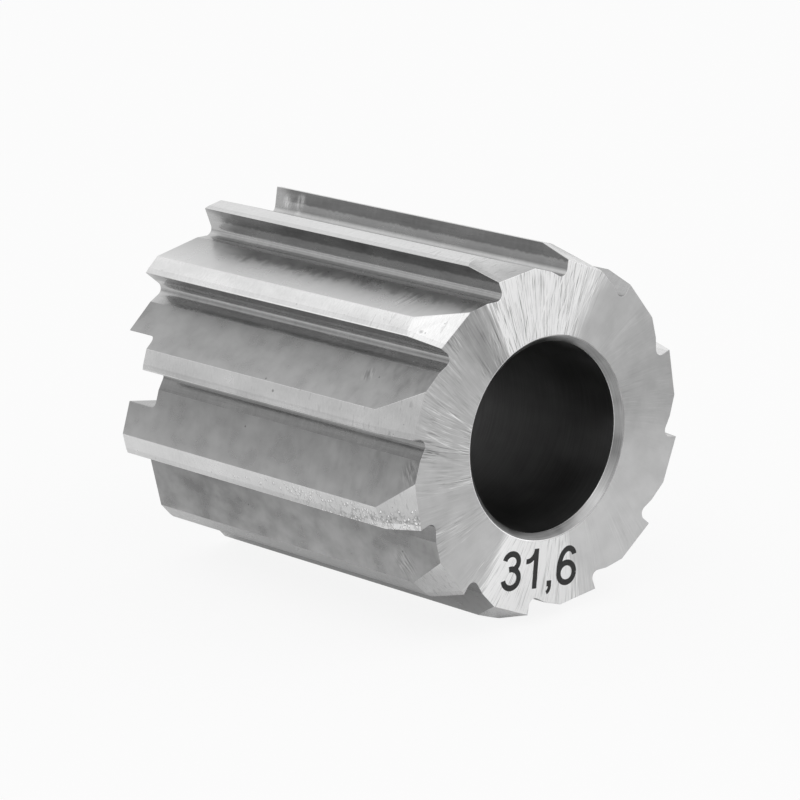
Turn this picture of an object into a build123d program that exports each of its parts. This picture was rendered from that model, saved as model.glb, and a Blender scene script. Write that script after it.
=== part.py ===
from build123d import *
import os
from math import atan2, cos, degrees, hypot, pi, radians, sin, tan

# A shell reamer head of hardened steel for the inside of a frame tube, made as one piece.
# It is a fluted cylinder with a through bore, a flat front face and a drive slot across the back.
# The model lies on two of its teeth, as the head comes to rest on a bench: the axis runs along Y,
# the front face looks towards -Y, and the origin is on the bench under the middle of the head.

# Body
cutting_diameter = 31.6
cutter_length = 38.0
bore_diameter = 16.0
bore_chamfer = 0.6

# Teeth: each has a narrow round margin at its cutting edge, then a flat relieved land
tooth_count = 12
land_width = 1.85
margin_width = 0.5
relief_angle = 6.0

# Flutes: a radial rake face, a narrow floor that rises to a crease, and a flat back up to the heel
flute_depth = 2.6
floor_width = 1.85
floor_angle = 20.0
root_radius = 0.6

# Lead: a flat facet on the front of each tooth, which starts the cut
lead_length = 3.3
lead_angle = 16.0
lead_relief = 12.5

# Drive slot across the back face, turned a little from the line of two opposite teeth
slot_width = 6.2
slot_depth = 3.6
slot_corner = 0.5
slot_turn = -0.9

cutting_radius = cutting_diameter / 2
bore_radius = bore_diameter / 2
pitch_angle = 360 / tooth_count

# The land in section: where the margin ends and where the relieved flat reaches its heel.
# Angles are clockwise from the cutting edge, as seen from the front.
margin_angle = degrees(margin_width / cutting_radius)
relief_length = land_width - margin_width
heel_along = relief_length * cos(radians(relief_angle))
heel_drop = relief_length * sin(radians(relief_angle))
heel_radius = hypot(heel_along, cutting_radius - heel_drop)
heel_angle = margin_angle + degrees(atan2(heel_along, cutting_radius - heel_drop))

# At rest one tooth stands on its cutting edge and the next on its heel, at the same height.
# rest_turn is how far the top tooth then leans clockwise, seen from the front.
foot_angle = radians(pitch_angle - heel_angle)
heel_foot = atan2(heel_radius - cutting_radius * cos(foot_angle), cutting_radius * sin(foot_angle))
rest_turn = degrees(foot_angle - heel_foot)
axis_height = cutting_radius * cos(radians(rest_turn))

front = Plane(origin=(0, -cutter_length / 2, axis_height), x_dir=(1, 0, 0), z_dir=(0, -1, 0))
back = front.offset(-cutter_length)


def around(radius, angle):
    """Sketch point at an angle clockwise from the sketch's upward axis."""
    return (radius * sin(radians(angle)), radius * cos(radians(angle)))


# One flute in section, ahead of a tooth whose cutting edge is straight up
edge = around(cutting_radius, 0)
root = around(cutting_radius - flute_depth, 0)
crease = (
    root[0] - floor_width * cos(radians(floor_angle)),
    root[1] + floor_width * sin(radians(floor_angle)),
)
heel = around(heel_radius, heel_angle - pitch_angle)
margin_end = around(cutting_radius, margin_angle - pitch_angle)
outside = cutting_radius * 1.2
with BuildSketch() as flute:
    with BuildLine():
        Polyline(
            edge,
            root,
            crease,
            heel,
            margin_end,
            around(outside, margin_angle - pitch_angle),
            around(outside, 0),
            close=True,
        )
    make_face()
    root_corner = flute.vertices().sort_by_distance((root[0], root[1], 0))[0]
    fillet(root_corner, radius=root_radius)

with BuildPart() as reamer_head:
    # Fluted bar with its bore
    with BuildSketch(front):
        Circle(cutting_radius)
        Circle(bore_radius, mode=Mode.SUBTRACT)
        with PolarLocations(0, tooth_count, start_angle=-rest_turn):
            add(flute.sketch, mode=Mode.SUBTRACT)
    extrude(amount=-cutter_length)

    # Chamfers at both mouths of the bore
    mouths = edges().filter_by(GeomType.CIRCLE).filter_by(lambda e: abs(e.radius - bore_radius) < 0.001)
    chamfer(mouths, length=bore_chamfer)

    # Lead facet on each tooth, through the front end of its cutting edge
    lead_radius = cutting_radius - lead_length * tan(radians(lead_angle))
    facet_reach = 2 * pi * cutting_radius / tooth_count
    for index in range(tooth_count):
        turn = radians(rest_turn + index * pitch_angle)
        radial = front.x_dir * sin(turn) + front.y_dir * cos(turn)
        sideways = front.x_dir * cos(turn) - front.y_dir * sin(turn)
        facet = Plane(
            origin=front.origin + radial * lead_radius,
            x_dir=sideways,
            z_dir=radial + sideways * tan(radians(lead_relief)) + front.z_dir * tan(radians(lead_angle)),
        )
        with BuildSketch(facet):
            Rectangle(2 * facet_reach, 2 * facet_reach)
        extrude(amount=facet_reach, mode=Mode.SUBTRACT)

    # Drive slot straight across the back
    slot_lean = radians(rest_turn + slot_turn)
    slot_line = back.x_dir * cos(slot_lean) - back.y_dir * sin(slot_lean)
    slot_section = Plane(origin=back.origin, x_dir=back.z_dir, z_dir=slot_line)
    with BuildSketch(slot_section) as slot:
        Rectangle(2 * slot_depth, slot_width)
        fillet(slot.vertices(), radius=slot_corner)
    extrude(amount=cutting_radius, both=True, mode=Mode.SUBTRACT)

reamer_head.part.label = "reamer_head"

os.makedirs("parts", exist_ok=True)
export_step(reamer_head.part, "parts/reamer_head.step")
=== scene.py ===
"""The looks of a seat tube reamer head: ground and milled steel on a white table."""
import math

import bmesh
import bpy
from mathutils import Matrix, Vector


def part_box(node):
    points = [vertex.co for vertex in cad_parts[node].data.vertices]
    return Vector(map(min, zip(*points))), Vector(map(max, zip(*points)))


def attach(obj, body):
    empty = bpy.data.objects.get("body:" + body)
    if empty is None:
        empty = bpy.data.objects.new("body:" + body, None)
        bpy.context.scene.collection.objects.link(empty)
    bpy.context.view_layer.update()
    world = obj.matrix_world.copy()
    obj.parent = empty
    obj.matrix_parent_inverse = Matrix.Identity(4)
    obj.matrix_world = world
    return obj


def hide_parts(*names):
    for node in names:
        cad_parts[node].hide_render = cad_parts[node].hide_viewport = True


MM = 0.001

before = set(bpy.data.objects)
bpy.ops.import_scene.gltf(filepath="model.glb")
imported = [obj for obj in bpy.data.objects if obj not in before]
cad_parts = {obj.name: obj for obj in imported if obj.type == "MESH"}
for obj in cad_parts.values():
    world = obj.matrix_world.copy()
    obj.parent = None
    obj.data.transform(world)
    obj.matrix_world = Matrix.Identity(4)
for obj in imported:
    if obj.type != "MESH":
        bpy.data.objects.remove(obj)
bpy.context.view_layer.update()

# The head's axis runs along Y at this height, and its front face looks towards -Y
head_low, head_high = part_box("reamer_head")
AXIS_HEIGHT = (head_low.z + head_high.z) / 2
FACE_Y = head_low.y
HEAD_MIDDLE = Vector((0, 0, AXIS_HEIGHT))

# Clock angles run clockwise from the top, seen from the front, and past angles from a tooth's cutting edge
TOOTH_COUNT = 12
PITCH = 2 * math.pi / TOOTH_COUNT
CUTTING_RADIUS = 15.8 * MM
BORE_CHAMFER_RADIUS = 8.6 * MM
REST_TURN = math.radians(12.38)
MARGIN_ANGLE = 1.81
HEEL_ANGLE = 6.71
CREASE_ANGLE = 22.84
ROOT_ANGLE = 27.0
RAKE_ANGLE = 29.3
SLOT_FLOOR = 15.4 * MM
SLOT_HALF_WIDTH = 3.1 * MM
SLOT_LEAN = REST_TURN + math.radians(-0.9)

# The rake faces are ground down to this radius, in mm, and stay as milled below it
GROUND_RAKE_RADIUS = 14.7

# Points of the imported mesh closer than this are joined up, and so are faces that meet flatter than this
SAME_POINT = 0.001 * MM
SAME_FACE = math.radians(0.3)

# The least that each kind of face points, as a cosine: along the axis for ends, chamfers and leads,
# inwards for the bore and anticlockwise for rakes
END_FACING = 0.97
CHAMFER_FACING = 0.4
LEAD_FACING = 0.1
BORE_FACING = 0.9
RAKE_FACING = 0.8

# How far out the bore's chamfers reach, how far the slot reaches from its middle and where the lands start,
# each with some leeway
CHAMFER_REACH = 1.03 * BORE_CHAMFER_RADIUS
SLOT_REACH = 1.01 * SLOT_HALF_WIDTH
LAND_START = 0.985 * CUTTING_RADIUS

# Edges sharper than EDGE_LIMIT degrees are broken by a stone. Flatter ones, down to CREASE_LIMIT, stay crisp.
# A broken edge takes the finish of the faces beside it, which is asked for with the index -1. Only the edges
# of the bore's chamfers have a finish of their own, a painted glint, and they are broken a little more
EDGE_BREAK = 0.05 * MM
RIM_BREAK = 0.055 * MM
EDGE_LIMIT = 25
CREASE_LIMIT = 10
NEIGHBOURS_FINISH = -1

# The camera stands to the front left of the head and looks a little down
CAMERA_AZIMUTH = math.radians(-39.785)
CAMERA_ELEVATION = math.radians(15.668)
CAMERA_ROLL = math.radians(3.35)
CAMERA_DISTANCE = 348.27 * MM
CAMERA_AIM = Vector((-8.53, -10.54, 19.15)) * MM
CAMERA_LENS = 190.69
CAMERA_SENSOR = 36

# Seeds of the noise, and the range that its values mostly lie in
FACE_SEED = 3.1
LAND_SEED = 7.4
BACK_SEED = 11.9
FLUTE_SEED = 5.2
BORE_SEED = 9.6
NOISE_LOW = 0.3
NOISE_HIGH = 0.7

# The palest that a finish gets, and the tone that the lands and lead facets start from
PALEST = 0.97
LAND_TONE = 0.8

# The cup stone's scratches lean this much from radial, as the tangent of an angle, and less than that at
# the top. The lean is counted from this radius in the middle of the face, in mm. Along a scratch, the noise
# changes as much in a millimetre as it does over this much of a turn, in radians
FACE_LEAN = -0.21
TOP_LEAN = -0.04
FACE_MIDDLE_RADIUS = 11.5
SCRATCH_RUN = 0.003

# The face's sectors of painted sheen, painted bright where the scratches' reflection would be: degrees
# clockwise from the top or the bottom where each starts, is full, begins to fade and ends. The top one ends
# so many degrees further round per millimetre of radius
TOP_PAINTED_SHEEN = (-26, -23, 16, 34)
BOTTOM_PAINTED_SHEEN = (-16, -4, 33, 40)
TOP_WIDENING = 1.2

# Marks: clock angle in degrees, place along the axis, radius and size in mm, and the share of the size
# within which each is full
LAND_SPOTS = (
    (-44.5, -16.5, 15.57, 0.3),
    (-39.0, -17.8, 15.19, 0.24),
    (-73.4, -2.1, 15.7, 0.2),
)
RAKE_SPOTS = (
    (12.3, 17.4, 14.6, 0.8),
    (12.3, 15.4, 15.0, 0.8),
    (12.3, 15.7, 14.4, 0.9),
)
SCUFFS = (
    (-60.3, -11.7, 15.0, 1.1),
    (-31.5, -11.5, 15.0, 1.8),
    (-88.5, -18.2, 14.9, 1.6),
    (-124.9, -14.3, 15.4, 1.8),
)
MARK_CORE = 0.3

# Teeth and stretches with a look of their own: the clock angle of the middle, and how many degrees
# off it the look begins to fade and ends
# One back has a painted dark reflection along its crease
PAINTED_REFLECTION_BACK = (-31.0, 13, 16)
DULLED_BACK = (-61.0, 13, 16)
BLOTCHED_BACK = (-123.0, 13, 16)
CHIPPED_LAND = (-104.0, 8, 12)
CHIPPED_EDGE = (-107.0, 3.5, 6.5)
# The lowest land and its lead facet get painted shade, as the shadow under the head shows in them
PAINTED_SHADE_LAND = (-134.0, 8, 12)
# Painted highlight: the rakes on the right are painted light where they would mirror the light
PAINTED_HIGHLIGHT_RAKE = (72.4, 8, 33)
EVEN_RAKE = (42.4, 4, 8)
# The chamfer's painted shade at the bottom and painted light to the right of it
SHADED_CHAMFER = (-168.0, 12, 34)
PAINTED_LIGHT_CHAMFER = (150.0, 6, 22)


def add(tree, kind, links=None, **settings):
    """A shader node. links maps an input's name or index to a socket or a plain value."""
    made = tree.nodes.new("ShaderNode" + kind)
    for name, value in settings.items():
        setattr(made, name, value)
    for key, value in (links or {}).items():
        if isinstance(value, bpy.types.NodeSocket):
            tree.links.new(value, made.inputs[key])
        else:
            made.inputs[key].default_value = value
    return made


def maths(tree, operation, *values):
    """A Math node's result."""
    return add(tree, "Math", dict(enumerate(values)), operation=operation).outputs[0]


def vector_maths(tree, operation, *values):
    """A Vector Math node's vector."""
    return add(tree, "VectorMath", dict(enumerate(values)), operation=operation).outputs[0]


def vector_measure(tree, operation, *values):
    """A Vector Math node's number, such as a length."""
    return add(tree, "VectorMath", dict(enumerate(values)), operation=operation).outputs["Value"]


def parts_of(tree, vector):
    """The three components of a vector."""
    return add(tree, "SeparateXYZ", {0: vector}).outputs


def noise(tree, vector, scale, detail=2.0, roughness=0.5):
    """Soft noise between 0 and 1."""
    links = {"Vector": vector, "Scale": scale, "Detail": detail, "Roughness": roughness}
    return add(tree, "TexNoise", links).outputs[0]


def cells(tree, vector, scale):
    """Voronoi cells: the distance from each cell's middle, and a random tone for each cell."""
    made = add(tree, "TexVoronoi", {"Vector": vector, "Scale": scale}, feature="F1")
    return made.outputs["Distance"], parts_of(tree, made.outputs["Color"])[0]


def remap(tree, value, low, high, to_low, to_high, smooth=False):
    """value taken from low..high to to_low..to_high, and held at the ends."""
    kind = "SMOOTHSTEP" if smooth else "LINEAR"
    links = {0: value, 1: low, 2: high, 3: to_low, 4: to_high}
    return add(tree, "MapRange", links, interpolation_type=kind).outputs[0]


def rise(tree, value, start, full, smooth=False):
    """0 where value is at start, 1 where it is at full, and held beyond them. full may be the lower one."""
    return remap(tree, value, start, full, 0, 1, smooth)


def fade(tree, value, full, end, smooth=False):
    """1 where value is at full or below, and 0 where it is at end or above."""
    return remap(tree, value, full, end, 1, 0, smooth)


def spread(tree, value, to_low, to_high):
    """The usual range of noise taken to to_low..to_high."""
    return remap(tree, value, NOISE_LOW, NOISE_HIGH, to_low, to_high)


def mix(tree, share, without, within):
    """without where share is 0, and within where it is 1."""
    return remap(tree, share, 0, 1, without, within)


def total(tree, *values):
    """The sum of several values."""
    result = values[0]
    for value in values[1:]:
        result = maths(tree, "ADD", result, value)
    return result


def product(tree, *values):
    """The product of several values."""
    result = values[0]
    for value in values[1:]:
        result = maths(tree, "MULTIPLY", result, value)
    return result


def largest(tree, *values):
    """The largest of several values."""
    result = values[0]
    for value in values[1:]:
        result = maths(tree, "MAXIMUM", result, value)
    return result


def stretched(tree, vector, across, along, up, seed):
    """vector in millimetres, scaled by axis and moved by a seed, for noise with a grain."""
    scaled = vector_maths(tree, "MULTIPLY", vector, (across, along, up))
    return vector_maths(tree, "ADD", scaled, (seed, 2.7 * seed, -1.3 * seed))


def turned(tree, vector, degrees, axis):
    """vector turned about an axis of the head."""
    links = {"Vector": vector, "Angle": math.radians(degrees)}
    return add(tree, "VectorRotate", links, rotation_type=axis + "_AXIS").outputs[0]


def axis_position(tree):
    """The point in millimetres, measured from the middle of the head."""
    place = add(tree, "TexCoord").outputs["Object"]
    scaled = vector_maths(tree, "MULTIPLY", place, (1 / MM, 1 / MM, 1 / MM))
    return vector_maths(tree, "SUBTRACT", scaled, (0, 0, AXIS_HEIGHT / MM))


def off_axis(tree, place):
    """The way from the axis to a point, square to the axis, and its length, the radius."""
    flat = vector_maths(tree, "MULTIPLY", place, (1, 0, 1))
    return flat, vector_measure(tree, "LENGTH", flat)


def around_axis(tree, place):
    """Unit direction from the axis, and the radius."""
    flat, radius = off_axis(tree, place)
    return vector_maths(tree, "NORMALIZE", flat), radius


def along_scratches(tree, place, lean, seed):
    """Noise coordinates that hardly change along a leaning scratch of the end faces."""
    flat, radius = off_axis(tree, place)
    share = maths(tree, "DIVIDE", radius, FACE_MIDDLE_RADIUS)
    turn = product(tree, maths(tree, "LOGARITHM", share, math.e), lean)
    leaning = add(tree, "VectorRotate", {"Vector": flat, "Angle": turn}, rotation_type="Y_AXIS").outputs[0]
    way = vector_maths(tree, "NORMALIZE", leaning)
    run = add(tree, "CombineXYZ", {1: product(tree, radius, SCRATCH_RUN)}).outputs[0]
    return stretched(tree, vector_maths(tree, "ADD", way, run), 1, 1, 1, seed)


def clock_angle(tree, direction):
    """Degrees clockwise from the top, from -180 to 180."""
    across, _, up = parts_of(tree, direction)
    return maths(tree, "DEGREES", maths(tree, "ARCTAN2", across, up))


def past_edge(tree, place):
    """Degrees clockwise past the cutting edge of the tooth that a point is on."""
    turn = maths(tree, "SUBTRACT", clock_angle(tree, place), math.degrees(REST_TURN))
    teeth = maths(tree, "DIVIDE", turn, math.degrees(PITCH))
    return product(tree, maths(tree, "FRACT", teeth), math.degrees(PITCH))


def near_turn(tree, way, stretch):
    """1 on a stretch of the clock, fading to 0 at its ends."""
    middle, full, end = stretch
    angle = math.radians(middle)
    facing = vector_measure(tree, "DOT_PRODUCT", way, (math.sin(angle), 0, math.cos(angle)))
    return rise(tree, facing, math.cos(math.radians(end)), math.cos(math.radians(full)))


def marked(tree, place, marks):
    """1 at each of a few marks, fading to 0 at its size."""
    spots = []
    for degrees, along, radius, size in marks:
        angle = math.radians(degrees)
        centre = (radius * math.sin(angle), along, radius * math.cos(angle))
        gap = vector_measure(tree, "DISTANCE", place, centre)
        spots.append(fade(tree, gap, MARK_CORE * size, size, smooth=True))
    return largest(tree, *spots)


def empty_tree(owner):
    """The node tree of a new material or world, with nothing in it."""
    owner.use_nodes = True
    owner.node_tree.nodes.clear()
    return owner.node_tree


def steel(name, roughness, anisotropy=0.0, metallic=1.0):
    """A metal material, with constants on its shader's sockets: the material, its tree and its shader."""
    material = bpy.data.materials.new(name)
    tree = empty_tree(material)
    constants = {"Metallic": metallic, "Roughness": roughness, "Anisotropic": anisotropy}
    shader = add(tree, "BsdfPrincipled", constants)
    add(tree, "OutputMaterial", {"Surface": shader.outputs[0]})
    return material, tree, shader


def grey(tree, shader, value):
    """The shader's base colour from one value."""
    held = maths(tree, "MINIMUM", value, PALEST)
    colour = add(tree, "CombineColor", {0: held, 1: held, 2: held}).outputs[0]
    tree.links.new(colour, shader.inputs["Base Color"])


def rough(tree, shader, value):
    """The shader's roughness from a value that changes over the surface."""
    tree.links.new(value, shader.inputs["Roughness"])


def bump(tree, shader, height, depth):
    """Surface relief: height of 1 stands depth millimetres proud."""
    made = add(tree, "Bump", {"Strength": 1.0, "Distance": depth * MM, "Height": height})
    tree.links.new(made.outputs[0], shader.inputs["Normal"])


def sector(tree, first_turn, last_turn, edges):
    """1 in a sector of the face. Clockwise, it starts by first_turn and ends by last_turn, in degrees."""
    start, full, fading, end = edges
    return product(
        tree,
        rise(tree, first_turn, start, full, smooth=True),
        fade(tree, last_turn, fading, end, smooth=True),
    )


def face_painted_reflection_tone(tree, across, up, frayed):
    """The face's tone between the sectors: the steel's own level, with a painted reflection that changes
    slowly round the face. A wedge at the top left is painted shade.
    """
    # Painted shade: a darker wedge at the top left
    painted_shade_wedge = product(
        tree,
        rise(tree, frayed, -47, -38, smooth=True),
        remap(tree, frayed, -31, -27, 1, 0.3, smooth=True),
    )
    left_tone = total(tree, remap(tree, up, -0.3, -0.9, 0.5, 0.61), product(tree, painted_shade_wedge, -0.12))
    right_tone = total(tree, remap(tree, up, 0.3, 0.9, 0.41, 0.53), remap(tree, up, 0.1, -0.95, 0, 0.3))
    return mix(tree, rise(tree, across, -0.3, 0.3), left_tone, right_tone)


def face_streaks(tree, place, fine, lines, painted_sheen):
    """The face's scratches as changes of tone: fine ones, dark and light lines, and a few that cross them."""
    crossing = noise(tree, along_scratches(tree, place, 1.8 * FACE_LEAN, 3 * FACE_SEED), 48, detail=3)
    return total(
        tree,
        product(tree, spread(tree, fine, -0.28, 0.28), mix(tree, painted_sheen, 0.5, 1)),
        product(tree, rise(tree, lines, 0.58, 0.62), -0.36),
        product(tree, rise(tree, lines, 0.42, 0.38), 0.34),
        product(tree, rise(tree, crossing, 0.62, 0.66), -0.2),
        product(tree, rise(tree, crossing, 0.38, 0.34), 0.34),
    )


def ground_face():
    """The end faces: near-radial scratches of a cup stone in clusters, and two sectors of painted sheen."""
    material, tree, shader = steel("ground_face", 0.42, anisotropy=0.6)
    place = axis_position(tree)
    way, radius = around_axis(tree, place)
    across, _, up = parts_of(tree, way)
    lean = remap(tree, up, 0.5, 0.95, FACE_LEAN, TOP_LEAN)
    scratch_place = along_scratches(tree, place, lean, FACE_SEED)
    fine = noise(tree, scratch_place, 120, detail=2, roughness=0.6)
    lines = noise(tree, along_scratches(tree, place, lean, 2 * FACE_SEED), 74, detail=3, roughness=0.65)
    fray = noise(tree, scratch_place, 22, detail=3, roughness=0.6)
    clusters = noise(tree, scratch_place, 6, detail=2)
    broken = noise(tree, stretched(tree, place, 1, 1, 1, FACE_SEED), 0.3, detail=2)
    mottle = noise(tree, stretched(tree, place, 1, 1, 1, 2 * FACE_SEED), 0.55, detail=3)

    # The top sector's last edge lies further round towards the rim. The other three edges are frayed
    turn = clock_angle(tree, way)
    low_turn = clock_angle(tree, vector_maths(tree, "MULTIPLY", way, (-1, -1, -1)))
    frays = spread(tree, fray, -4, 4)
    frayed = total(tree, turn, frays)
    frayed_low = total(tree, low_turn, frays)
    inwards = maths(tree, "SUBTRACT", FACE_MIDDLE_RADIUS, radius)
    widening = total(tree, turn, product(tree, inwards, TOP_WIDENING))
    # The two sectors are painted sheen: bright base colour where the scratches would mirror the light
    top = sector(tree, frayed, widening, TOP_PAINTED_SHEEN)
    bottom = sector(tree, frayed_low, frayed_low, BOTTOM_PAINTED_SHEEN)
    painted_sheen = largest(tree, top, bottom)

    # Elsewhere the scratches come in clusters. The left half is scratched more than the right
    between = remap(tree, up, -0.4, 0.1, 0.15, 0.5)
    clustered = product(
        tree,
        remap(tree, clusters, 0.48, 0.56, between, 1),
        remap(tree, broken, 0.42, 0.55, 0.3, 1),
        remap(tree, across, -0.05, 0.35, 0.55, 0.09),
    )
    scratched = largest(tree, clustered, painted_sheen)
    streaks = face_streaks(tree, place, fine, lines, painted_sheen)
    painted_reflection_tone = face_painted_reflection_tone(tree, across, up, frayed)
    # The painted sheen's tone, a little paler at the bottom
    painted_sheen_tone = remap(tree, up, -0.5, 0.5, 0.99, 0.94)
    grey(tree, shader, total(
        tree,
        mix(tree, painted_sheen, painted_reflection_tone, painted_sheen_tone),
        product(tree, streaks, scratched, mix(tree, bottom, 1, 0.6)),
        spread(tree, mottle, -0.035, 0.035),
    ))
    rough(tree, shader, total(
        tree,
        spread(tree, fray, 0.4, 0.48),
        product(tree, painted_sheen, 0.1),
        product(tree, bottom, 0.14),
    ))
    height = total(tree, product(tree, fine, 0.7), product(tree, lines, -1.5))
    bump(tree, shader, product(tree, height, scratched), 0.003)
    tangent = add(tree, "Tangent", direction_type="RADIAL", axis="Y").outputs[0]
    tree.links.new(tangent, shader.inputs["Tangent"])
    return material


def across_land(tree, place, seed):
    """Noise coordinates with a grain that runs across the teeth, a little off square to the axis."""
    return stretched(tree, turned(tree, place, 9, "X"), 0.25, 1, 0.25, seed)


def chips(tree, place, way, along, patches):
    """Chips on one tooth, more of them towards the front and its cutting edge: how chipped it is,
    the grains, which tilt every way and are painted bright as glints, and the rims between them."""
    chipped = product(
        tree,
        near_turn(tree, way, CHIPPED_EDGE),
        rise(tree, along, 6, -12),
        remap(tree, patches, 0.35, 0.6, 0.5, 1),
    )
    gap, tone = cells(tree, place, 3.6)
    chance = rise(tree, total(tree, tone, product(tree, chipped, 0.6)), 0.97, 1.0)
    grain = product(tree, chance, fade(tree, gap, 0.25, 0.45), rise(tree, chipped, 0, 0.15))
    rim = product(tree, chance, rise(tree, gap, 0.4, 0.55), chipped)
    return chipped, grain, rim


def ground_land(name, chipped_fall, painted_shade_fall):
    """Lands or lead facets: bright, with faint lines across them, a greyer margin, pits and nicks. One tooth
    is chipped, with a painted glint at its tip, and the lowest has painted shade. The falls change the tone
    of the two."""
    material, tree, shader = steel(name, 0.2)
    place = axis_position(tree)
    way, _ = around_axis(tree, place)
    along = parts_of(tree, place)[1]
    lines = noise(tree, across_land(tree, place, LAND_SEED), 8, detail=3, roughness=0.6)
    nicks = noise(tree, across_land(tree, place, 2 * LAND_SEED), 3, detail=3, roughness=0.6)
    patches = noise(tree, stretched(tree, place, 1, 0.4, 1, LAND_SEED), 0.6, detail=3)
    pits, _ = cells(tree, place, 0.9)
    pit = largest(tree, fade(tree, pits, 0.03, 0.06), marked(tree, place, LAND_SPOTS))
    nick = product(tree, rise(tree, nicks, 0.6, 0.66), remap(tree, along, -16, 5, 1, 0.1))
    margin = fade(tree, past_edge(tree, place), MARGIN_ANGLE, MARGIN_ANGLE + 0.3)
    chipped, grain, rim = chips(tree, place, way, along, patches)
    # A painted glint along the chipped tooth's cutting edge at the front
    painted_glint_edge = product(tree, margin, chipped, rise(tree, along, -12, -16))
    grey(tree, shader, total(
        tree,
        LAND_TONE,
        spread(tree, lines, -0.04, 0.04),
        spread(tree, patches, -0.04, 0.04),
        product(tree, margin, -0.07),
        product(tree, nick, -0.12),
        product(tree, pit, -0.4),
        product(tree, near_turn(tree, way, CHIPPED_LAND), chipped_fall),
        product(tree, near_turn(tree, way, PAINTED_SHADE_LAND), painted_shade_fall),
        product(tree, chipped, -0.08),
        # The chipped grains are tilted bumps and also painted glints
        product(tree, grain, 0.5),
        product(tree, rim, -0.2),
        product(tree, painted_glint_edge, 0.3),
    ))
    rough(tree, shader, spread(tree, patches, 0.16, 0.28))
    bump(tree, shader, total(
        tree,
        lines,
        product(tree, nick, -1),
        product(tree, pit, -3),
        product(tree, grain, 30),
    ), 0.0025)
    return material


def rake_tone(tree, way, radius, ripple):
    """The rakes' tone: ground near the edge and milled below. Those on the right have a painted highlight,
    and one is even.
    """
    painted_highlight = near_turn(tree, way, PAINTED_HIGHLIGHT_RAKE)
    tone = remap(
        tree,
        total(tree, radius, spread(tree, ripple, -0.1, 0.1)),
        GROUND_RAKE_RADIUS - 0.12,
        GROUND_RAKE_RADIUS + 0.12,
        mix(tree, painted_highlight, 0.52, 0.85),
        mix(tree, painted_highlight, 0.27, 0.95),
        smooth=True,
    )
    return mix(tree, near_turn(tree, way, EVEN_RAKE), tone, 0.42)


def milled_flute():
    """Rake faces, roots and floors, with long lines. Their last stretch at the back is light."""
    material, tree, shader = steel("milled_flute", 0.24)
    place = axis_position(tree)
    way, radius = around_axis(tree, place)
    past = past_edge(tree, place)
    along = parts_of(tree, place)[1]
    lines = noise(tree, stretched(tree, place, 1, 0.05, 1, FLUTE_SEED), 6, detail=2)
    ripple = noise(tree, stretched(tree, place, 0.3, 1, 0.3, FLUTE_SEED), 2.5, detail=3, roughness=0.6)
    patches = noise(tree, stretched(tree, place, 1, 0.3, 1, FLUTE_SEED), 0.8, detail=3)
    floor_tone = remap(tree, past, ROOT_ANGLE - 0.5, ROOT_ANGLE + 1, 0.29, 0.35, smooth=True)
    on_rake = largest(tree, rise(tree, past, RAKE_ANGLE - 0.2, RAKE_ANGLE), rise(tree, past, 3, 2))
    tone = mix(tree, on_rake, floor_tone, rake_tone(tree, way, radius, ripple))
    rear = rise(tree, total(tree, along, spread(tree, patches, -0.8, 0.8)), 16.6, 19, smooth=True)
    grey(tree, shader, total(
        tree,
        mix(tree, rear, tone, 0.57),
        spread(tree, lines, -0.015, 0.015),
        spread(tree, ripple, -0.02, 0.02),
        spread(tree, patches, -0.03, 0.03),
        product(tree, marked(tree, place, RAKE_SPOTS), remap(tree, ripple, 0.4, 0.6, 0.05, 0.35)),
    ))
    rough(tree, shader, spread(tree, patches, 0.18, 0.3))
    bump(tree, shader, total(tree, lines, ripple), 0.002)
    return material


def milled_slot():
    """The drive slot: straight marks of the cutter along its floor and its walls."""
    material, tree, shader = steel("milled_slot", 0.26)
    place = turned(tree, axis_position(tree), -math.degrees(SLOT_LEAN), "Y")
    lines = noise(tree, stretched(tree, place, 0.08, 1, 1, FLUTE_SEED), 5, detail=3)
    patches = noise(tree, stretched(tree, place, 0.6, 1, 1, 2 * FLUTE_SEED), 0.7, detail=3)
    grey(tree, shader, total(
        tree,
        spread(tree, lines, 0.33, 0.43),
        spread(tree, patches, -0.05, 0.05),
    ))
    rough(tree, shader, spread(tree, patches, 0.22, 0.34))
    bump(tree, shader, lines, 0.003)
    return material


def back_tone_and_painted_shade(tree, way, past, along, clouds, near_rear):
    """The backs' tone, with painted shade that falls from the land to the crease. One back is paler, as part
    of a painted reflection, one duller and one blotched.
    """
    # One back is paler near its land and at the rear, as part of a painted reflection
    painted_pale = total(
        tree,
        remap(tree, past, HEEL_ANGLE, CREASE_ANGLE, 0.2, 0.06),
        product(tree, near_rear, 0.05),
    )
    blotches = total(tree, remap(tree, along, -3, 12, 1, 0.74), remap(tree, clouds, 0.35, 0.65, -0.1, 0.07))
    return product(
        tree,
        total(
            tree,
            # Painted shade: the tone falls from the land to the crease as a curved back's reflection would
            remap(tree, past, HEEL_ANGLE, CREASE_ANGLE, 0.5, 0.34),
            product(tree, near_turn(tree, way, PAINTED_REFLECTION_BACK), painted_pale),
        ),
        mix(tree, near_turn(tree, way, DULLED_BACK), 1, 0.77),
        mix(tree, near_turn(tree, way, BLOTCHED_BACK), 1, blotches),
    )


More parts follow.
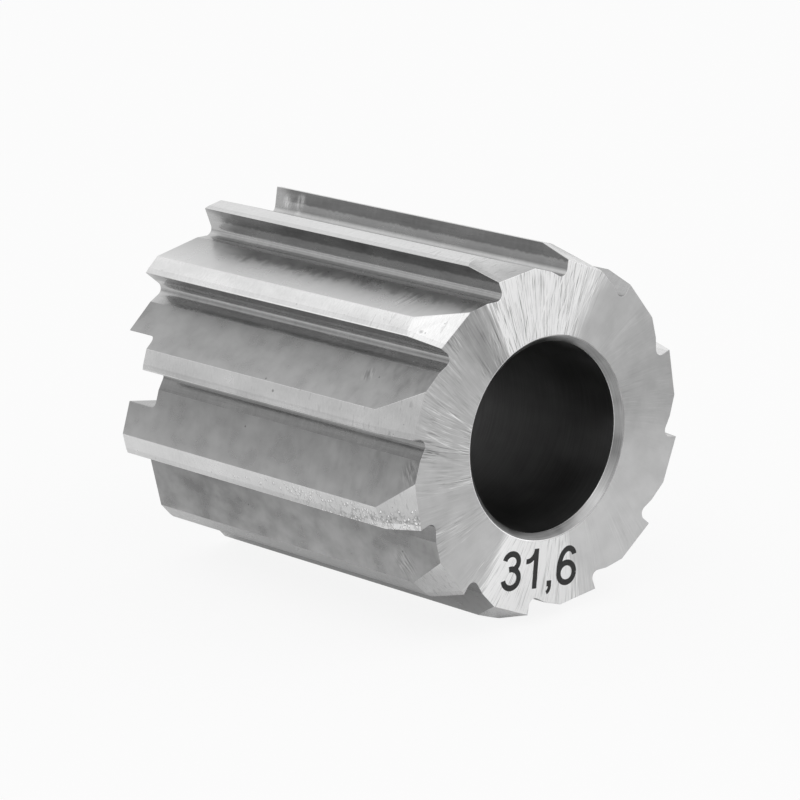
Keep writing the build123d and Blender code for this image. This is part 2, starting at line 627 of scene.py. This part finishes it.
def crease_painted_reflection(tree, place, way, past, along, clouds):
    """A ragged painted dark reflection along one back's crease, with a faint halo: where it is, and its tone.
    """
    combed = stretched(tree, turned(tree, place, -25, "Z"), 0.5, 1.2, 0.5, 2 * BACK_SEED)
    frays = noise(tree, combed, 0.8, detail=4, roughness=0.6)
    edge = remap(tree, along, 4, -8, 17, 18.5, smooth=True)
    ragged = total(
        tree,
        past,
        remap(tree, frays, 0.25, 0.75, -3.2, 3.2),
        remap(tree, clouds, 0.35, 0.65, -2.5, 2.5),
        product(tree, edge, -1),
    )
    halo = remap(tree, ragged, -5, 1, 0, 0.15, smooth=True)
    painted_dark = product(
        tree,
        largest(tree, rise(tree, ragged, -3.5, 3, smooth=True), halo),
        near_turn(tree, way, PAINTED_REFLECTION_BACK),
        fade(tree, along, 10, 15, smooth=True),
    )
    tone = total(tree, remap(tree, along, 0, -12, 0.19, 0.24), spread(tree, clouds, -0.04, 0.04))
    return painted_dark, tone


def dull_back():
    """The flat backs of the teeth: clouded, with painted shade, a painted dark reflection on one, soft marks
    across, specks and a few scuffs.
    """
    material, tree, shader = steel("dull_back", 0.3)
    place = axis_position(tree)
    way, _ = around_axis(tree, place)
    past = past_edge(tree, place)
    along = parts_of(tree, place)[1]
    clouds = noise(tree, stretched(tree, place, 1, 0.7, 1, BACK_SEED), 0.55, detail=3)
    marks = noise(tree, stretched(tree, place, 0.55, 1, 0.55, BACK_SEED), 1.1, detail=2)
    near_front = remap(tree, along, -19, -3, 1, 0.3, smooth=True)
    near_rear = rise(tree, along, 10, 17, smooth=True)
    mark = product(tree, rise(tree, marks, 0.45, 0.75, smooth=True), near_front)
    gap, chance = cells(tree, place, 0.5)
    speck = product(tree, fade(tree, gap, 0.035, 0.055), maths(tree, "GREATER_THAN", chance, 0.5))
    scratches = noise(tree, stretched(tree, turned(tree, place, 35, "X"), 0.4, 5, 1, BACK_SEED), 1, detail=3)
    scuff = product(tree, marked(tree, place, SCUFFS), remap(tree, scratches, 0.4, 0.62, -0.12, 0.14))
    plain_tone = back_tone_and_painted_shade(tree, way, past, along, clouds, near_rear)
    painted_dark, painted_dark_tone = crease_painted_reflection(tree, place, way, past, along, clouds)
    grey(tree, shader, total(
        tree,
        # Painted reflection: a ragged dark patch along one back's crease
        mix(tree, painted_dark, plain_tone, painted_dark_tone),
        product(tree, near_rear, 0.04),
        spread(tree, clouds, -0.04, 0.04),
        product(tree, mark, -0.055),
        product(tree, speck, -0.2),
        scuff,
    ))
    rough(tree, shader, spread(tree, clouds, 0.24, 0.38))
    bump(tree, shader, total(tree, clouds, product(tree, speck, -2), product(tree, scuff, 3)), 0.004)
    return material


def dark_bore():
    """The bore's wall, very dark, with faint rings from the hone and a paler cloud or two."""
    material, tree, shader = steel("dark_bore", 0.45)
    place = axis_position(tree)
    rings = noise(tree, stretched(tree, place, 0.05, 1, 0.05, BORE_SEED), 6, detail=3)
    clouds = noise(tree, stretched(tree, place, 1, 0.6, 1, BORE_SEED), 0.2, detail=2)
    grey(tree, shader, total(
        tree,
        spread(tree, rings, 0.13, 0.155),
        spread(tree, clouds, -0.03, 0.05),
    ))
    rough(tree, shader, spread(tree, clouds, 0.4, 0.55))
    bump(tree, shader, rings, 0.002)
    return material


def turned_chamfer():
    """The chamfers of the bore: grey, with rings from the countersink, painted shade at the bottom and
    painted light to the right of that."""
    material, tree, shader = steel("turned_chamfer", 0.25)
    place = axis_position(tree)
    way, _ = around_axis(tree, place)
    rings = noise(tree, vector_maths(tree, "MULTIPLY", place, (0.02, 1, 0.02)), 14, detail=2)
    patches = noise(tree, stretched(tree, way, 1, 1, 1, BORE_SEED), 4, detail=3)
    grey(tree, shader, total(
        tree,
        spread(tree, rings, 0.3, 0.4),
        spread(tree, patches, -0.06, 0.06),
        product(tree, near_turn(tree, way, SHADED_CHAMFER), -0.1),
        product(tree, near_turn(tree, way, PAINTED_LIGHT_CHAMFER), 0.15),
    ))
    rough(tree, shader, spread(tree, patches, 0.28, 0.4))
    bump(tree, shader, rings, 0.003)
    return material


def painted_glint_rim():
    """The broken edges of the bore's chamfers, with a painted glint: the inner ones bright, and the outer
    ones bright on the left and dull on the right."""
    material, tree, shader = steel("painted_glint_rim", 0.2)
    way, radius = around_axis(tree, axis_position(tree))
    rim_radius = BORE_CHAMFER_RADIUS / MM
    outer = rise(tree, radius, rim_radius - 0.4, rim_radius - 0.2)
    outer_painted_glint = remap(tree, parts_of(tree, way)[0], -0.3, 0.3, 0.88, 0.4)
    patches = noise(tree, stretched(tree, way, 1, 1, 1, 2 * BORE_SEED), 5, detail=3)
    grey(tree, shader, total(
        tree,
        mix(tree, outer, 0.8, outer_painted_glint),
        spread(tree, patches, -0.12, 0.12),
    ))
    rough(tree, shader, spread(tree, patches, 0.16, 0.28))
    return material


def etched_mark():
    """The size number: dark oxide left by an etching pencil, a little uneven."""
    material, tree, shader = steel("etched_mark", 0.6, metallic=0.2)
    place = axis_position(tree)
    grain = noise(tree, stretched(tree, place, 1, 1, 1, FACE_SEED), 5, detail=4, roughness=0.7)
    grey(tree, shader, spread(tree, grain, 0.01, 0.03))
    bump(tree, shader, grain, 0.004)
    return material


def region_of(face):
    """The finish of one face, from where it lies and which way it looks."""
    normal = face.normal
    middle = face.calc_center_median()
    x, y, z = middle.x, middle.y, middle.z - AXIS_HEIGHT
    radius = math.hypot(x, z)
    radial = Vector((x, 0, z)) / radius
    clockwise = Vector((z, 0, -x)) / radius
    past = math.degrees((math.atan2(x, z) - REST_TURN) % PITCH)
    across_slot = x * math.sin(SLOT_LEAN) + z * math.cos(SLOT_LEAN)
    if abs(normal.y) > END_FACING:
        return "ground_face" if abs(y) > SLOT_FLOOR + MM else "milled_slot"
    if normal.dot(radial) < -BORE_FACING:
        return "dark_bore"
    if radius < CHAMFER_REACH and abs(normal.y) > CHAMFER_FACING:
        return "turned_chamfer"
    if y > SLOT_FLOOR and abs(across_slot) < SLOT_REACH:
        return "milled_slot"
    if normal.y < -LEAD_FACING:
        return "ground_lead"
    if normal.dot(clockwise) < -RAKE_FACING:
        return "milled_flute"
    if radius > LAND_START and past < HEEL_ANGLE:
        return "ground_land"
    if past < CREASE_ANGLE:
        return "dull_back"
    return "milled_flute"


def placed(name, data):
    """A new object in the scene."""
    made = bpy.data.objects.new(name, data)
    bpy.context.scene.collection.objects.link(made)
    return made


def joined_form(node):
    """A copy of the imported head's form, with its split points and its flat faces joined up."""
    form = bmesh.new()
    form.from_mesh(node.data)
    bmesh.ops.remove_doubles(form, verts=form.verts, dist=SAME_POINT)
    bmesh.ops.dissolve_limit(form, angle_limit=SAME_FACE, verts=form.verts, edges=form.edges)
    return form


def sorted_edges(form, slots):
    """The edges to break, and the edges of the bore's chamfers. Flatter ones are marked to stay crisp."""
    broken = []
    rims = []
    for edge in form.edges:
        angle = math.degrees(edge.calc_face_angle())
        sides = {face.material_index for face in edge.link_faces}
        if len(sides) == 2 and slots["turned_chamfer"] in sides and slots["milled_slot"] not in sides:
            rims.append(edge)
        elif angle > EDGE_LIMIT:
            broken.append(edge)
        elif angle > CREASE_LIMIT:
            edge.smooth = False
    return broken, rims


def break_edges(form, edges, width, finish):
    """Rounds edges off with two facets each, which take a finish by its index."""
    bmesh.ops.bevel(
        form,
        geom=edges,
        offset=width,
        segments=2,
        profile=0.5,
        affect="EDGES",
        clamp_overlap=False,
        material=finish,
    )


def finished_head(node):
    """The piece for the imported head: the same form, with broken edges and a finish on every face."""
    form = joined_form(node)
    finishes = [
        ground_face(),
        ground_land("ground_land", chipped_fall=0.0, painted_shade_fall=-0.21),
        ground_land("ground_lead", chipped_fall=-0.1, painted_shade_fall=-0.1),
        milled_flute(),
        milled_slot(),
        dull_back(),
        dark_bore(),
        turned_chamfer(),
        painted_glint_rim(),
    ]
    slots = {finish.name: index for index, finish in enumerate(finishes)}
    for face in form.faces:
        face.material_index = slots[region_of(face)]
        face.smooth = True
    broken, rims = sorted_edges(form, slots)
    break_edges(form, broken, EDGE_BREAK, NEIGHBOURS_FINISH)
    break_edges(form, [edge for edge in rims if edge.is_valid], RIM_BREAK, slots["painted_glint_rim"])
    mesh = bpy.data.meshes.new("ground_head")
    form.to_mesh(mesh)
    form.free()
    for finish in finishes:
        mesh.materials.append(finish)
    head = placed("ground_head", mesh)
    flat = head.modifiers.new("flat_faces", "WEIGHTED_NORMAL")
    flat.keep_sharp = True
    flat.weight = 100
    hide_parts("reamer_head")
    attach(head, "root")


# The size number: where it sits under the bore, half its height, and the widths of its strokes, in mm
NUMBER_TURN = math.radians(9.6)
NUMBER_DROP = 10.93
NUMBER_HALF_HEIGHT = 1.44
STROKE = 0.5
FLAG_STROKE = 0.86 * STROKE
COMMA_TAIL = 0.34

# The relief of the strokes, in mm. The first stands this share of it proud of the face, and each later one
# a step more, so that no two tops lie in one plane
STROKE_RELIEF = 0.01
FIRST_SHARE = 0.6
SHARE_STEP = 0.05

# A curved stroke has one straight piece for about so many degrees, and never fewer than so many pieces
ARC_PIECE = 7
FEWEST_PIECES = 4


def arc(across, up, wide, high, start, end):
    """Points of an ellipse's arc, from start to end degrees, anticlockwise from the right."""
    steps = max(FEWEST_PIECES, round(abs(end - start) / ARC_PIECE))
    turns = [math.radians(start + (end - start) * step / steps) for step in range(steps + 1)]
    return [(across + wide * math.cos(turn), up + high * math.sin(turn)) for turn in turns]


def number_strokes():
    """The width and the points of each stroke, in millimetres from the middle of the number."""
    top = NUMBER_HALF_HEIGHT
    three, one, comma, six = -2.98, -0.28, 1.36, 3.24
    six_stem = arc(six + 0.1, -0.3, 0.97, top + 0.3, 186, 90) + arc(six + 0.1, 0.82, 0.66, top - 0.82, 80, 10)
    return [
        (STROKE, arc(three - 0.02, 0.76, 0.76, top - 0.76, 168, -80)),
        (STROKE, arc(three, -0.64, 0.86, top - 0.64, 108, -170)),
        (STROKE, [(one, -top - STROKE / 2), (one, top + STROKE / 2)]),
        (FLAG_STROKE, arc(one - 1.0, top + 0.42, 1.0, 1.2, -95, -16)),
        (STROKE, [(comma, -1.13), (comma, -1.62)]),
        (COMMA_TAIL, arc(comma - 0.38, -1.58, 0.47, 0.6, 4, -72)),
        (STROKE, arc(six, -0.6, 0.87, top - 0.6, 0, 360)),
        (STROKE, six_stem),
    ]


def stroke_band(form, points, width, relief):
    """A flat band along points, standing relief millimetres proud of the front face."""
    turn = Matrix.Rotation(NUMBER_TURN, 3, "Y")
    rows = []
    for index, point in enumerate(points):
        before = Vector(points[max(index - 1, 0)])
        after = Vector(points[min(index + 1, len(points) - 1)])
        along = (after - before).normalized()
        side = Vector((-along.y, along.x)) * width / 2
        row = []
        for edge in (Vector(point) + side, Vector(point) - side):
            for out in (relief, 0.0):
                spot = turn @ Vector((edge.x, -out, edge.y - NUMBER_DROP)) * MM
                row.append(form.verts.new(spot + Vector((0, FACE_Y, AXIS_HEIGHT))))
        rows.append(row)
    for (a, b, c, d), (e, f, g, h) in zip(rows, rows[1:]):
        form.faces.new((a, c, g, e))
        form.faces.new((a, e, f, b))
        form.faces.new((c, d, h, g))
    for a, b, c, d in (rows[0], rows[-1]):
        form.faces.new((a, b, d, c))


def size_number():
    """The cutting diameter, etched on the front face under the bore."""
    form = bmesh.new()
    for index, (width, points) in enumerate(number_strokes()):
        stroke_band(form, points, width, STROKE_RELIEF * (FIRST_SHARE + SHARE_STEP * index))
    bmesh.ops.recalc_face_normals(form, faces=form.faces)
    mesh = bpy.data.meshes.new("size_number")
    form.to_mesh(mesh)
    form.free()
    mesh.materials.append(etched_mark())
    number = placed("size_number", mesh)
    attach(number, "root")


def camera():
    """The photograph's view: far off, with a long lens and a slight roll."""
    data = bpy.data.cameras.new("camera")
    data.lens = CAMERA_LENS
    data.sensor_width = CAMERA_SENSOR
    level = math.cos(CAMERA_ELEVATION)
    back = Vector(
        (math.sin(CAMERA_AZIMUTH) * level, -math.cos(CAMERA_AZIMUTH) * level, math.sin(CAMERA_ELEVATION))
    )
    move = Matrix.Translation(CAMERA_AIM + back * CAMERA_DISTANCE)
    turn = (-back).to_track_quat("-Z", "Y").to_matrix().to_4x4()
    made = placed("camera", data)
    made.matrix_world = move @ turn @ Matrix.Rotation(-CAMERA_ROLL, 4, "Z")
    bpy.context.scene.camera = made


# The table: how far it reaches, in metres, its grey, and the share of its own white light that the camera
# sees, and that steel mirrors
FLOOR_REACH = 4
FLOOR_GREY = 0.84
SEEN_SHARE = 0.88
MIRRORED_SHARE = 0.22


def white_floor():
    """A white table. Its own light is only seen or mirrored, and the head's shadow stays on it."""
    mesh = bpy.data.meshes.new("floor")
    near, far = -FLOOR_REACH, FLOOR_REACH
    corners = [(near, near, 0), (far, near, 0), (far, far, 0), (near, far, 0)]
    mesh.from_pydata(corners, [], [(0, 1, 2, 3)])
    material = bpy.data.materials.new("white_table")
    tree = empty_tree(material)
    matt = add(tree, "BsdfDiffuse", {"Color": (FLOOR_GREY, FLOOR_GREY, FLOOR_GREY, 1)})
    glow = add(tree, "Emission", {"Color": (1, 1, 1, 1), "Strength": 1.0})
    ray = add(tree, "LightPath").outputs
    mirrored = largest(tree, ray["Is Glossy Ray"], ray["Is Transmission Ray"])
    share = total(
        tree,
        product(tree, ray["Is Camera Ray"], SEEN_SHARE),
        product(tree, mirrored, MIRRORED_SHARE),
    )
    both = add(tree, "MixShader", {0: share, 1: matt.outputs[0], 2: glow.outputs[0]})
    add(tree, "OutputMaterial", {"Surface": both.outputs[0]})
    mesh.materials.append(material)
    floor = placed("floor", mesh)


# The room: a plain level, and brighter parts behind, at the back right, high on the left and at the front
# right. Each is a direction, the cosines where it starts and is full, and its gain
ROOM_LEVEL = 0.55
ROOM_LIGHTS = (
    ((-0.05, 0.85, 0.52), 0.72, 0.95, 0.34),
    ((0.85, 0.5, 0.15), 0.8, 0.95, 0.35),
    ((-0.45, 0.25, 0.86), 0.8, 0.99, 0.6),
    ((0.62, -0.74, 0.1), 0.5, 0.9, 0.75),
)


def studio_world():
    """A room of reflectors, which the camera itself sees white."""
    world = bpy.data.worlds.new("studio")
    bpy.context.scene.world = world
    tree = empty_tree(world)
    way = add(tree, "TexCoord").outputs["Generated"]
    level = ROOM_LEVEL
    for towards, start, full, gain in ROOM_LIGHTS:
        facing = vector_measure(tree, "DOT_PRODUCT", way, Vector(towards).normalized())
        level = total(tree, level, remap(tree, facing, start, full, 0, gain, smooth=True))
    strength = largest(tree, level, add(tree, "LightPath").outputs["Is Camera Ray"])
    glow = add(tree, "Background", {"Color": (1, 1, 1, 1), "Strength": strength})
    add(tree, "OutputWorld", {"Surface": glow.outputs[0]})


# The lamp: its place and its side in metres, and its radiance, which is what it adds to the room in a mirror.
# A lamp's power is its radiance times its area times this factor
LAMP_PLACE = Vector((-0.31, -0.62, 0.74))
LAMP_SIDE = 0.66
LAMP_RADIANCE = 0.65
POWER_PER_RADIANCE = 4


def softbox():
    """A soft square lamp at the front left, which looks at the head."""
    data = bpy.data.lights.new("left_softbox", "AREA")
    data.shape = "SQUARE"
    data.size = LAMP_SIDE
    data.energy = POWER_PER_RADIANCE * LAMP_SIDE * LAMP_SIDE * LAMP_RADIANCE
    lamp = placed("left_softbox", data)
    lamp.location = LAMP_PLACE
    lamp.rotation_euler = (HEAD_MIDDLE - LAMP_PLACE).to_track_quat("-Z", "Y").to_euler()


finished_head(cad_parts["reamer_head"])
size_number()
camera()
white_floor()
studio_world()
softbox()

scene = bpy.context.scene
scene.view_settings.view_transform = "Standard"
